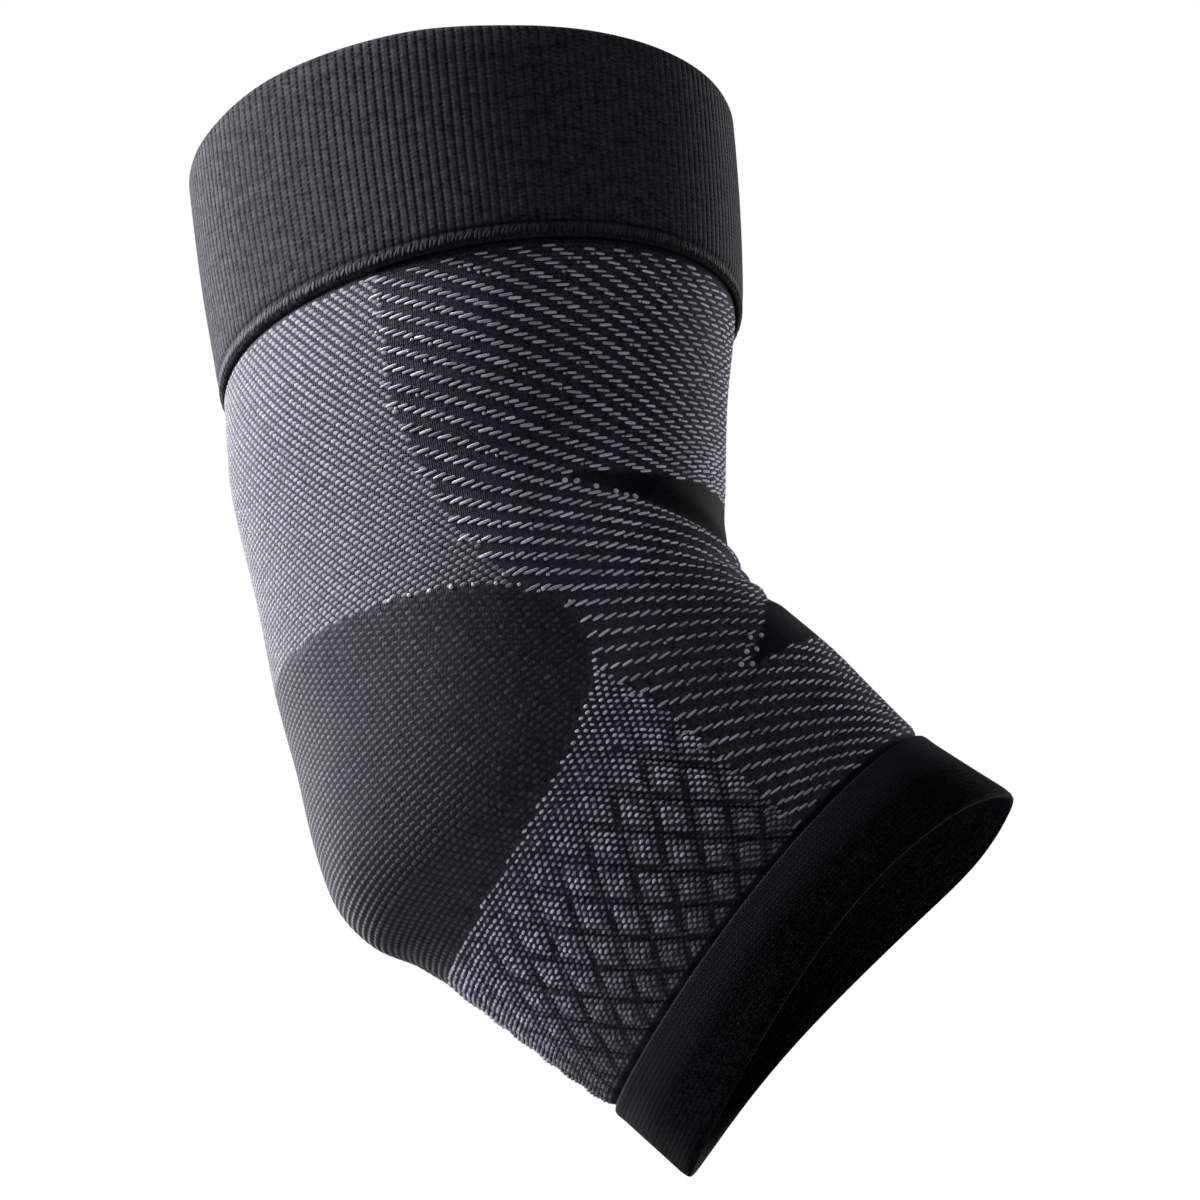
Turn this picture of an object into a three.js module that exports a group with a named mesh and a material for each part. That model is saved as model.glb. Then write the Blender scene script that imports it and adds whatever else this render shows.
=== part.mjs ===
// Elbow bracing sleeve: a knitted tube shaped as if worn on a bent arm, with a wide
// turned welt at the upper arm and a narrow turned hem at the forearm.
// Millimetres. Z runs up the upper arm, X towards the crook of the elbow, Y across
// the arm. The origin is the middle of the elbow joint, inside the hollow.
import * as THREE from "three";

// Cloth
const WALL = 1.6; // single layer of sleeve knit
const GAP = 0.3; // clearance between lapped pieces
const WELT_PROUD = 1.4; // upper cuff's outer face above the sleeve's face
const WELT_WALL = 3.0; // upper cuff, two layers
const HEM_PROUD = 0.5; // lower cuff's outer face above the sleeve's face
const HEM_WALL = 2.8; // lower cuff, two layers

// Stations along the arm, measured on its side, from the top rim down
const TOP_RIM = 0;
const WELT_EDGE = 44; // visible lower edge of the upper cuff
const WELT_LAP = 4; // the cuff covers this much of the sleeve
const HEM_SEAM = 174; // visible upper edge of the lower cuff
const HEM_LAP = 4;
const LOW_RIM = 193;

// Facets
const AROUND = 72; // facets round the arm
const COARSE_STEP = 6.4; // ring spacing, half a quilt cell
const FINE_STEP = 3.2; // ring spacing through the bend
const FINE_FROM = 98;
const FINE_TO = 129.2;

// One row per section of the arm: where the section meets the crook line (front) and
// the elbow line (back), how deep it is across the arm to each side, and how far its
// sides rise towards the shoulder out of a flat cut.
const SECTIONS = [
  { at: 0, front_x: 51.0, front_z: 118.3, back_x: -51.3, back_z: 120.0, half_depth: 50.2, side_rise: 0 },
  { at: 22, front_x: 49.4, front_z: 98.0, back_x: -51.4, back_z: 97.6, half_depth: 49.0, side_rise: 0 },
  { at: 44, front_x: 46.7, front_z: 77.5, back_x: -50.7, back_z: 73.5, half_depth: 48.5, side_rise: 0 },
  { at: 64, front_x: 42.6, front_z: 59.5, back_x: -51.7, back_z: 52.5, half_depth: 46.0, side_rise: 0 },
  { at: 82, front_x: 39.9, front_z: 43.5, back_x: -50.0, back_z: 28.6, half_depth: 43.5, side_rise: 0 },
  { at: 98, front_x: 38.3, front_z: 32.3, back_x: -47.9, back_z: -2.4, half_depth: 42.0, side_rise: 0 },
  { at: 110, front_x: 39.3, front_z: 25.4, back_x: -44.0, back_z: -24.2, half_depth: 41.0, side_rise: 0 },
  { at: 120, front_x: 42.8, front_z: 20.0, back_x: -37.1, back_z: -38.3, half_depth: 40.5, side_rise: 0 },
  { at: 132, front_x: 48.8, front_z: 13.6, back_x: -24.2, back_z: -46.9, half_depth: 40.0, side_rise: 0 },
  { at: 146, front_x: 55.5, front_z: 6.0, back_x: -14.2, back_z: -57.9, half_depth: 39.5, side_rise: 0 },
  { at: 160, front_x: 62.0, front_z: -3.0, back_x: -5.4, back_z: -66.6, half_depth: 39.0, side_rise: 0 },
  { at: 174, front_x: 69.0, front_z: -12.0, back_x: 2.8, back_z: -74.4, half_depth: 38.5, side_rise: 2 },
  { at: 193, front_x: 84.0, front_z: -25.4, back_x: 15.2, back_z: -88.6, half_depth: 38.7, side_rise: 4.6 },
];
const COLUMNS = ["front_x", "front_z", "back_x", "back_z", "half_depth", "side_rise"];

// Folds pressed into the crook: each runs from at_front on the crook line up to
// at_side at side_turn degrees round, on both sides of the arm.
const FOLDS = [
  { at_front: 114, at_side: 88.5, side_turn: 84, bow: 1.3, depth: 1.9, width: 3.0, lip: 0.9 },
  { at_front: 123, at_side: 119.0, side_turn: 58, bow: 1.3, depth: 0.8, width: 2.2, lip: 0.4 },
];

// Diamond quilting over the back of the forearm
const QUILT = { cell_turn: 10, cell_length: 12.8, depth: 0.9, starts: 124, full: 156, side_turn: 84 };

const smooth = (from, to, value) => THREE.MathUtils.smoothstep(value, from, to);

// Cubic through the rows of SECTIONS, with slopes taken from the neighbouring rows.
function section(at) {
  let row = 0;
  while (row < SECTIONS.length - 2 && at >= SECTIONS[row + 1].at) row += 1;
  const low = SECTIONS[row];
  const high = SECTIONS[row + 1];
  const step = high.at - low.at;
  const t = (at - low.at) / step;
  const made = {};
  for (const column of COLUMNS) {
    const slopeAt = (index) => {
      const before = SECTIONS[index - 1];
      const here = SECTIONS[index];
      const after = SECTIONS[index + 1];
      const down = after && (after[column] - here[column]) / (after.at - here.at);
      const up = before && (here[column] - before[column]) / (here.at - before.at);
      if (!before) return down;
      if (!after) return up;
      const share = (here.at - before.at) / (after.at - before.at);
      return up * (1 - share) + down * share;
    };
    made[column] =
      (2 * t ** 3 - 3 * t ** 2 + 1) * low[column] +
      (t ** 3 - 2 * t ** 2 + t) * step * slopeAt(row) +
      (3 * t ** 2 - 2 * t ** 3) * high[column] +
      (t ** 3 - t ** 2) * step * slopeAt(row + 1);
  }
  return made;
}

// Point of the sleeve's smooth outer face; turn is in degrees round the arm, 0 on the crook line.
function skin(at, turn) {
  const s = section(at);
  const c = Math.cos(THREE.MathUtils.degToRad(turn));
  const w = Math.sin(THREE.MathUtils.degToRad(turn));
  const reach = new THREE.Vector2(s.front_x - s.back_x, s.front_z - s.back_z).multiplyScalar(0.5);
  const rise = (s.side_rise * w * w) / reach.length();
  return new THREE.Vector3(
    (s.front_x + s.back_x) / 2 + reach.x * c - reach.y * rise,
    s.half_depth * w,
    (s.front_z + s.back_z) / 2 + reach.y * c + reach.x * rise,
  );
}

function outward(at, turn) {
  const along = skin(Math.min(at + 0.5, LOW_RIM), turn).sub(skin(Math.max(at - 0.5, TOP_RIM), turn));
  const round = skin(at, turn + 0.5).sub(skin(at, turn - 0.5));
  return along.cross(round).normalize();
}

// Height of the cloth over the smooth face: crook folds and forearm quilting.
function relief(at, turn) {
  const away = Math.abs(THREE.MathUtils.euclideanModulo(turn + 180, 360) - 180);
  let height = 0;
  for (const fold of FOLDS) {
    const share = Math.min(away / fold.side_turn, 1);
    const path = fold.at_front + (fold.at_side - fold.at_front) * share ** fold.bow;
    const fade = 1 - smooth(0.45, 1, share);
    const gone = (at - path) / fold.width;
    height -= fold.depth * fade * Math.exp(-gone * gone);
    height += fold.lip * fade * Math.exp(-((gone - 2) ** 2));
  }
  const strength = smooth(QUILT.starts, QUILT.full, at) * smooth(QUILT.side_turn, QUILT.side_turn + 8, away);
  const across = away / QUILT.cell_turn;
  const along = (at - HEM_SEAM) / QUILT.cell_length;
  const ridge = (phase) => Math.abs(2 * (phase - Math.round(phase)));
  const pillow = Math.min(ridge(across + along), ridge(across - along));
  height -= QUILT.depth * strength * (1 - pillow);
  return height;
}

const lift = (at, turn, height) => skin(at, turn).addScaledVector(outward(at, turn), height);

// A tube wall closed on itself: rings go down the outer face and back up the inner one.
// Each ring has its row's number and the place of its points by the turn. Facets are
// split one way and the other in turn, so that in the quilting they meet at the grooves.
function wall(name, rings, material) {
  const points = [];
  const index = [];
  for (const ring of rings)
    for (let k = 0; k < AROUND; k += 1) points.push(...ring.place((360 * k) / AROUND).toArray());
  for (let r = 0; r < rings.length; r += 1) {
    const here = r * AROUND;
    const next = ((r + 1) % rings.length) * AROUND;
    for (let k = 0; k < AROUND; k += 1) {
      const side = (k + 1) % AROUND;
      const [a, b, c, d] = [here + k, here + side, next + side, next + k];
      if ((rings[r].row + k) % 2 === 0) index.push(a, c, b, a, d, c);
      else index.push(a, d, b, b, d, c);
    }
  }
  const geometry = new THREE.BufferGeometry();
  geometry.setAttribute("position", new THREE.Float32BufferAttribute(points, 3));
  geometry.setIndex(index);
  geometry.computeVertexNormals();
  const mesh = new THREE.Mesh(geometry, material);
  mesh.name = name;
  return mesh;
}

const cloth = (color, roughness) => new THREE.MeshStandardMaterial({ color, roughness, metalness: 0 });
const group = new THREE.Group();
group.name = "elbow_bracing_sleeve";

// Upper cuff: outer face, lap over the sleeve, step, inner face, turned top rim
const weltIn = WELT_PROUD - WELT_WALL;
const weltStep = WELT_EDGE - WELT_LAP;
const WELT = [
  { at: TOP_RIM + 0.2, off: WELT_PROUD - 0.7 },
  { at: TOP_RIM + 1.2, off: WELT_PROUD },
  { at: 12, off: WELT_PROUD },
  { at: 24, off: WELT_PROUD },
  { at: WELT_EDGE - 0.6, off: WELT_PROUD },
  { at: WELT_EDGE, off: WELT_PROUD - 0.5 },
  { at: WELT_EDGE - 0.2, off: GAP },
  { at: weltStep, off: GAP },
  { at: weltStep, off: weltIn },
  { at: 20, off: weltIn },
  { at: TOP_RIM + 1.2, off: weltIn },
  { at: TOP_RIM + 0.2, off: weltIn + 0.7 },
  { at: TOP_RIM, off: WELT_PROUD - WELT_WALL / 2 },
];
group.add(
  wall(
    "upper_cuff",
    WELT.map(({ at, off }, row) => ({ row, place: (turn) => lift(at, turn, off) })),
    cloth(0x26272b, 0.92),
  ),
);

// Sleeve: its top edge lies under the upper cuff's lap, its lower edge is thinned and
// tucked under the lower cuff's lap.
const bodyTop = WELT_EDGE - WELT_LAP + GAP;
const bodyEnd = HEM_SEAM + HEM_LAP;
const TUCK = HEM_WALL / 2 - HEM_PROUD + 0.1; // how far the lower edge sinks under the lap
const stations = [bodyEnd, HEM_SEAM];
for (let at = HEM_SEAM - COARSE_STEP; at > FINE_TO; at -= COARSE_STEP) stations.unshift(at);
stations.sort((a, b) => a - b);
for (let at = FINE_TO; at > FINE_FROM; at -= FINE_STEP) stations.unshift(at);
for (let at = stations[0] - COARSE_STEP; at > WELT_EDGE + 1; at -= COARSE_STEP) stations.unshift(at);
stations.unshift(bodyTop, WELT_EDGE);
const clothHeight = (at, turn) =>
  relief(at, turn) * (1 - smooth(HEM_SEAM - 4, bodyEnd, at)) - TUCK * smooth(HEM_SEAM - 5, HEM_SEAM, at);
const clothWall = (at) => (at > HEM_SEAM + 1 ? WALL / 2 : WALL);
const rowFromHem = (row) => stations.indexOf(HEM_SEAM) - row + stations.length * 2;
const face = stations.map((at, row) => ({
  row: rowFromHem(row),
  place: (turn) => lift(at, turn, clothHeight(at, turn)),
}));
const lining = stations.map((at, row) => ({
  row: rowFromHem(row),
  place: (turn) => lift(at, turn, clothHeight(at, turn) - clothWall(at)),
}));
group.add(wall("sleeve_body", [...face, ...lining.reverse()], cloth(0x4d4e57, 0.95)));

// Lower cuff: rolled upper edge over the sleeve, outer face, turned rim, inner face, step
const hemIn = HEM_PROUD - HEM_WALL;
const hemLap = GAP - TUCK;
const hemStep = bodyEnd + GAP;
const HEM = [
  { at: HEM_SEAM + 0.5, off: hemLap },
  { at: HEM_SEAM + 0.3, off: HEM_PROUD - 0.6 },
  { at: HEM_SEAM + 1.1, off: HEM_PROUD },
  { at: HEM_SEAM + 2.6, off: HEM_PROUD },
  { at: 183, off: HEM_PROUD - 0.2 },
  { at: LOW_RIM - 1.2, off: HEM_PROUD },
  { at: LOW_RIM - 0.2, off: HEM_PROUD - 0.7 },
  { at: LOW_RIM, off: HEM_PROUD - HEM_WALL / 2 },
  { at: LOW_RIM - 0.2, off: hemIn + 0.7 },
  { at: LOW_RIM - 1.2, off: hemIn },
  { at: 186, off: hemIn },
  { at: hemStep, off: hemIn },
  { at: hemStep, off: hemLap },
];
group.add(
  wall(
    "lower_cuff",
    HEM.map(({ at, off }, row) => ({ row, place: (turn) => lift(at, turn, off) })),
    cloth(0x131315, 0.95),
  ),
);

export default group;
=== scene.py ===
# Looks of the elbow bracing sleeve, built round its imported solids. Metres, Z up the upper
# arm, X towards the crook of the elbow, Y across the arm; the elbow's middle is the origin.
import math

import bpy
import numpy as np
from mathutils import Matrix, Vector


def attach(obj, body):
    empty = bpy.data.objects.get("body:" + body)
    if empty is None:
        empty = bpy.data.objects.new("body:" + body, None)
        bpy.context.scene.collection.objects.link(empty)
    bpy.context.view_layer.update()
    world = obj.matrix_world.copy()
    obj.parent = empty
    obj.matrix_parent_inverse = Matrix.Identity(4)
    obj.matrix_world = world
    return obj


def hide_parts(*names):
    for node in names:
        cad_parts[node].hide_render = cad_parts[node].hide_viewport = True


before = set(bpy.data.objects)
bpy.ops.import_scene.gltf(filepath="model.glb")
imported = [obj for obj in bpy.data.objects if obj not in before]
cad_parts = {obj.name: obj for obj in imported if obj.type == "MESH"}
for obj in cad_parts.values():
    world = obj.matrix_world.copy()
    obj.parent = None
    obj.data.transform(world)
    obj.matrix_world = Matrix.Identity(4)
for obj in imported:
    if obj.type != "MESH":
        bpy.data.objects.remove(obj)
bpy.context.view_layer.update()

# Sleeve cloth: one tube of dark nylon and elastane knit between the two cuffs, shaped to
# a bent elbow, creased in the crook and quilted in diamonds over the back of the forearm.
# Its ends run under the laps of the cuffs and are linked there.
MM = 0.001
# Where each section of the arm meets the crook line (front) and the elbow line (back), its
# half depth across the arm, and how far its sides rise. Stations and sizes in millimetres.
SECTIONS = np.array(
    [
        # at, front_x, front_z, back_x, back_z, half_depth, side_rise
        (0, 51.0, 118.3, -51.3, 120.0, 50.2, 0.0),
        (22, 49.4, 98.0, -51.4, 97.6, 49.0, 0.0),
        (44, 46.7, 77.5, -50.7, 73.5, 48.5, 0.0),
        (64, 42.6, 59.5, -51.7, 52.5, 46.0, 0.0),
        (82, 39.9, 43.5, -50.0, 28.6, 43.5, 0.0),
        (98, 38.3, 32.3, -47.9, -2.4, 42.0, 0.0),
        (110, 39.3, 25.4, -44.0, -24.2, 41.0, 0.0),
        (120, 42.8, 20.0, -37.1, -38.3, 40.5, 0.0),
        (132, 48.8, 13.6, -24.2, -46.9, 40.0, 0.0),
        (146, 55.5, 6.0, -14.2, -57.9, 39.5, 0.0),
        (160, 62.0, -3.0, -5.4, -66.6, 39.0, 0.0),
        (174, 69.0, -12.0, 2.8, -74.4, 38.5, 2.0),
        (193, 84.0, -25.4, 15.2, -88.6, 38.7, 4.6),
    ]
)
CLOTH_TOP = 40.3
CUFF_EDGE = 44.0
PALE_TOP = 45.2  # where the pale stitches begin
HEM_SEAM = 174.0
CLOTH_END = 178.0
CLOTH_WALL = 1.6
HEM_TUCK = 1.0  # how far the lower end sinks under the lower cuff's lap
# Creases of the crook, each from at_front on the crook line to at_side at side_turn degrees.
CREASES = [
    # at_front, at_side, side_turn, bow, depth, width, lip
    (107.6, 84.6, 84.0, 1.3, 1.9, 2.4, 0.9),
    (113.8, 108.5, 58.0, 1.3, 0.8, 1.9, 0.5),
    (118.4, 116.0, 50.0, 1.3, 0.6, 1.7, 0.4),
    (124.0, 125.5, 44.0, 1.3, 0.4, 1.9, 0.1),
]
# Fullness of the cloth along the elbow line: it stands off at the point of the elbow and dips
# above and below it.
FULLNESS = [
    # at, height, reach
    (98.0, -0.75, 6.0),
    (114.5, 1.35, 5.5),
    (125.0, -0.85, 3.5),
    (136.0, 0.85, 6.0),
]
CUFF_STEP = 0.6  # how much fuller the back of the arm is just under the upper cuff
# Diamond quilting of the forearm: a diamond's turn and length, its depth, where it starts along
# the arm and is full, where it ends towards the crook, and how much of the depth is lost along
# the elbow line.
QUILT_TURN = 10.0
QUILT_LENGTH = 12.8
QUILT_DEPTH = 1.35
QUILT_STARTS = 120.0
QUILT_FULL = 146.0
QUILT_SIDE = 84.0
QUILT_LOST = 0.75
NEEDLES = 350  # columns of ground stitches round the arm
COURSE = 0.92  # one row of stitches along the arm
CLOTH_COLUMNS = 288  # points in each ring of the cloth's mesh
FACE_STEP = 1.0  # from ring to ring on its outer face
LINING_RINGS = 36
GROUND_COLOUR = (0.011, 0.011, 0.016, 1.0)
GROUND_LOOP_COLOUR = (0.165, 0.167, 0.212, 1.0)
BARE_LOOP_COLOUR = (0.028, 0.0265, 0.039, 1.0)
MIXED_GROUND_COLOUR = (0.12, 0.12, 0.15, 1.0)
# Gap colour of the bare ground, and the painted shade in the quilting's grooves.
GAP_AND_GROOVE_SHADE_COLOUR = (0.005, 0.005, 0.007, 1.0)
PATCH_COLOUR = (0.018, 0.020, 0.026, 1.0)
PATCH_LOOP_COLOUR = (0.062, 0.067, 0.085, 1.0)
PALE_GROUND_COLOUR = (0.050, 0.050, 0.064, 1.0)
PALE_GROUND_LOOP_COLOUR = (0.14, 0.14, 0.175, 1.0)
# How far round from the crook line the pale knit of the upper arm begins, by station.
PALE_EDGE_AT = (44, 56.5, 69, 81.5, 89, 96, 104, 114)
PALE_EDGE_TURN = (121.5, 119, 118.5, 113.5, 108.5, 100.5, 93.5, 91)
# The elbow patch is an oval about the elbow line, fuller than an ellipse.
PATCH_MIDDLE = 111.5
PATCH_HALF_LENGTH = 20.5
PATCH_HALF_TURN = 94.0
PATCH_POWER = 2.15
# The bare wedges: stations of their upper and lower edges by degrees off the crook line.
UPPER_WEDGE_TURN = (0, 22.5, 33, 43.5, 55, 62, 73, 80)
UPPER_WEDGE_FROM = (91, 91, 90.8, 90.5, 89.5, 89, 88, 87.5)
UPPER_WEDGE_TO = (106.8, 103.6, 101.6, 99.2, 95.7, 93.3, 90.4, 88.3)
LOWER_WEDGE_TURN = (0, 34.5, 45, 53.5, 63.5)
LOWER_WEDGE_FROM = (122.5, 127, 130.5, 134, 138)
LOWER_WEDGE_TO = (141.5, 141, 140.3, 139.5, 138)


def ease(low, high, value):
    """0 below low, 1 above high, a smooth step between."""
    share = np.clip((value - low) / (high - low), 0.0, 1.0)
    return share * share * (3 - 2 * share)


def off_crook(turn):
    """Degrees away from the crook line, 0 to 180."""
    return np.abs((turn + 180) % 360 - 180)


def section(at):
    """The sizes of the arm's section at a station: a cubic through the table's rows."""
    rows = SECTIONS[:, 0]
    sizes = SECTIONS[:, 1:]
    step = np.diff(rows)
    slope = np.diff(sizes, axis=0) / step[:, None]
    share = (step[:-1] / (step[:-1] + step[1:]))[:, None]
    bend = np.vstack([slope[:1], slope[:-1] * (1 - share) + slope[1:] * share, slope[-1:]])
    low = np.clip(np.searchsorted(rows, at, side="right") - 1, 0, len(step) - 1)
    t = ((at - rows[low]) / step[low])[..., None]
    span = step[low][..., None]
    near = (2 * t**3 - 3 * t**2 + 1) * sizes[low] + (t**3 - 2 * t**2 + t) * span * bend[low]
    far = (3 * t**2 - 2 * t**3) * sizes[low + 1] + (t**3 - t**2) * span * bend[low + 1]
    return near + far


def skin(at, turn):
    """Smooth outer face of the sleeve, in millimetres; turn is in degrees from the crook line."""
    at, turn = np.broadcast_arrays(np.asarray(at, float), np.asarray(turn, float))
    front_x, front_z, back_x, back_z, half_depth, side_rise = np.moveaxis(section(at), -1, 0)
    c = np.cos(np.radians(turn))
    s = np.sin(np.radians(turn))
    reach_x = (front_x - back_x) / 2
    reach_z = (front_z - back_z) / 2
    rise = side_rise * s * s / np.hypot(reach_x, reach_z)
    x = (front_x + back_x) / 2 + reach_x * c - reach_z * rise
    z = (front_z + back_z) / 2 + reach_z * c + reach_x * rise
    return np.stack([x, half_depth * s, z], -1)


def unit(vectors):
    """The same directions, one long."""
    return vectors / np.linalg.norm(vectors, axis=-1, keepdims=True)


def lift(at, turn, height):
    """A point at that height over the smooth face."""
    at, turn = np.broadcast_arrays(np.asarray(at, float), np.asarray(turn, float))
    inside = np.clip(at, SECTIONS[0, 0] + 0.5, SECTIONS[-1, 0] - 0.5)
    down = skin(inside + 0.5, turn) - skin(inside - 0.5, turn)
    around = skin(at, turn + 0.5) - skin(at, turn - 0.5)
    return skin(at, turn) + unit(np.cross(down, around)) * np.asarray(height)[..., None]


def quilt_groove(at, turn):
    """1 in the grooves of the diamond quilting, 0 on top of its pillows."""
    across = off_crook(turn) / QUILT_TURN
    along = (at - HEM_SEAM) / QUILT_LENGTH
    one = across + along
    other = across - along
    pillow = np.minimum(np.abs(2 * (one - np.round(one))), np.abs(2 * (other - np.round(other))))
    strength = ease(QUILT_STARTS, QUILT_FULL, at) * ease(QUILT_SIDE, QUILT_SIDE + 8, off_crook(turn))
    return strength * (1 - pillow) ** 1.6


def cloth_height(at, turn):
    """Height over the smooth face, in millimetres: quilting, creases, the fullness along the
    elbow line and under the upper cuff, and the lower end tucked under its cuff."""
    away = off_crook(turn)
    height = -QUILT_DEPTH * quilt_groove(at, turn) * (1 - QUILT_LOST * ease(156, 174, away))
    for at_front, at_side, side_turn, bow, depth, width, lip in CREASES:
        share = np.minimum(away / side_turn, 1)
        path = at_front + (at_side - at_front) * share**bow
        fade = 1 - ease(0.45, 1, share)
        gone = (at - path) / width
        height = height + fade * (lip * np.exp(-((gone - 2) ** 2)) - depth * np.exp(-gone * gone))
    for full_at, full_height, reach in FULLNESS:
        height = height + full_height * np.exp(-(((at - full_at) / reach) ** 2)) * ease(130, 172, away)
    below_cuff = ease(CUFF_EDGE, CUFF_EDGE + 2, at) * (1 - ease(56, 82, at))
    height = height + CUFF_STEP * below_cuff * ease(100, 150, away)
    return height * (1 - ease(HEM_SEAM - 4, CLOTH_END, at)) - HEM_TUCK * ease(HEM_SEAM - 3, HEM_SEAM, at)


def cloth_face(at, turn):
    """Outer face of the sleeve cloth, with its creases and quilting."""
    at, turn = np.broadcast_arrays(np.asarray(at, float), np.asarray(turn, float))
    return lift(at, turn, cloth_height(at, turn))


def in_patch(at, turn):
    """Below 1 inside the elbow patch."""
    along = np.abs(at - PATCH_MIDDLE) / PATCH_HALF_LENGTH
    round_arm = (180 - off_crook(turn)) / PATCH_HALF_TURN
    return (along**PATCH_POWER + round_arm**PATCH_POWER) ** (1 / PATCH_POWER)


def in_pale(at, turn):
    """Above 0 inside the pale knit of the upper arm, in degrees from its edge."""
    gone = off_crook(turn) - np.interp(at, PALE_EDGE_AT, PALE_EDGE_TURN)
    return np.where(at < PALE_EDGE_AT[-1], gone, -90)


def between_edges(at, away, edge_turn, upper_edge, lower_edge):
    """True between the two edges of one wedge."""
    below = at > np.interp(away, edge_turn, upper_edge)
    above = at < np.interp(away, edge_turn, lower_edge)
    return below & above & (away < edge_turn[-1])


def in_wedge(at, turn):
    """True in the two bare wedges of the crook."""
    away = off_crook(turn)
    upper = between_edges(at, away, UPPER_WEDGE_TURN, UPPER_WEDGE_FROM, UPPER_WEDGE_TO)
    lower = between_edges(at, away, LOWER_WEDGE_TURN, LOWER_WEDGE_FROM, LOWER_WEDGE_TO)
    return upper | lower


def new_piece(name, points, faces):
    """A smooth mesh object from points in millimetres, riding on the sleeve."""
    mesh = bpy.data.meshes.new(name)
    mesh.from_pydata((points * MM).tolist(), [], faces.tolist())
    mesh.shade_smooth()
    piece = bpy.data.objects.new(name, mesh)
    bpy.context.scene.collection.objects.link(piece)
    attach(piece, "root")
    return piece


def add_map(piece, name, uv):
    """A UV map from one row of (u, v) for each corner of each face."""
    layer = piece.data.uv_layers.new(name=name)
    layer.data.foreach_set("uv", np.ascontiguousarray(uv, np.float32).ravel())


def add_value(piece, name, values):
    """A number for each point, for the piece's material to read."""
    layer = piece.data.attributes.new(name, "FLOAT", "POINT")
    layer.data.foreach_set("value", np.ascontiguousarray(values, np.float32).ravel())


def knit_tube(name, rings, ring_at, wales):
    """A wall that closes on itself, from rings of points that go down its outer face and up
    its inner one. Its Knit map counts wales round the arm and courses along it."""
    rings = np.asarray(rings)
    count, columns = rings.shape[:2]
    row, column = np.meshgrid(np.arange(count), np.arange(columns), indexing="ij")
    row = row.ravel()
    column = column.ravel()
    corner_row = np.stack([row, row + 1, row + 1, row], 1)
    corner_column = np.stack([column, column, column + 1, column + 1], 1)
    faces = (corner_row % count) * columns + corner_column % columns
    piece = new_piece(name, rings.reshape(-1, 3), faces)
    ring_at = np.append(ring_at, ring_at[0])
    wale = corner_column / columns * wales
    add_map(piece, "Knit", np.stack([wale, ring_at[corner_row] / COURSE], -1))
    add_map(piece, "OFBake", np.stack([corner_column / columns, corner_row / count], -1))
    return piece


def calc(tree, operation, *values):
    """A maths node on numbers or sockets."""
    node = tree.nodes.new("ShaderNodeMath")
    node.operation = operation
    for place, value in zip(node.inputs, values):
        if isinstance(value, (int, float)):
            place.default_value = value
        else:
            tree.links.new(value, place)
    return node.outputs[0]


def blend_colours(tree, share, low, high):
    """A mix of two colours, which are sockets or plain values."""
    node = tree.nodes.new("ShaderNodeMix")
    node.data_type = "RGBA"
    tree.links.new(share, node.inputs["Factor"])
    for place, value in ((node.inputs["A"], low), (node.inputs["B"], high)):
        if isinstance(value, tuple):
            place.default_value = value
        else:
            tree.links.new(value, place)
    return node.outputs["Result"]


def read_value(tree, name):
    """A number that add_value gave the piece."""
    node = tree.nodes.new("ShaderNodeAttribute")
    node.attribute_name = name
    return node.outputs["Fac"]


# Plain knit, used by all three cloths: each stitch is a V of two yarn legs, and the yarn is
# fuzzy. Loops is high on the yarn and low in the gaps; Fuzz wanders from fibre to fibre.
knit = bpy.data.node_groups.new("Plain knit", "ShaderNodeTree")
knit.interface.new_socket("Stitches", in_out="INPUT", socket_type="NodeSocketVector")
knit.interface.new_socket("Loops", in_out="OUTPUT", socket_type="NodeSocketFloat")
knit.interface.new_socket("Fuzz", in_out="OUTPUT", socket_type="NodeSocketFloat")
knit_in = knit.nodes.new("NodeGroupInput")
knit_out = knit.nodes.new("NodeGroupOutput")
knit_split = knit.nodes.new("ShaderNodeSeparateXYZ")
knit.links.new(knit_in.outputs["Stitches"], knit_split.inputs[0])
wale_part = calc(knit, "FRACT", knit_split.outputs["X"])
wale_side = calc(knit, "ABSOLUTE", calc(knit, "SUBTRACT", wale_part, 0.5))
leg_side = calc(knit, "MULTIPLY_ADD", wale_side, 4.0, -1.0)
leg = calc(knit, "SUBTRACT", 1.0, calc(knit, "ABSOLUTE", leg_side))
slant = calc(knit, "MULTIPLY_ADD", wale_side, 1.3, knit_split.outputs["Y"])
step_on = calc(knit, "ABSOLUTE", calc(knit, "SUBTRACT", calc(knit, "FRACT", slant), 0.5))
row_on = calc(knit, "MULTIPLY_ADD", step_on, -2.0, 1.0)
loop_height = calc(knit, "MULTIPLY", calc(knit, "POWER", leg, 0.6), calc(knit, "POWER", row_on, 0.6))
fibres = knit.nodes.new("ShaderNodeTexNoise")
fibres.inputs["Scale"].default_value = 1.6
fibres.inputs["Detail"].default_value = 3.0
knit.links.new(knit_in.outputs["Stitches"], fibres.inputs["Vector"])
mottle = knit.nodes.new("ShaderNodeTexNoise")
mottle.inputs["Scale"].default_value = 0.45
mottle.inputs["Detail"].default_value = 2.0
knit.links.new(knit_in.outputs["Stitches"], mottle.inputs["Vector"])
fuzz_part = calc(knit, "MULTIPLY", fibres.outputs[0], 0.6)
knit.links.new(loop_height, knit_out.inputs["Loops"])
knit.links.new(calc(knit, "MULTIPLY_ADD", mottle.outputs[0], 0.4, fuzz_part), knit_out.inputs["Fuzz"])


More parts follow.
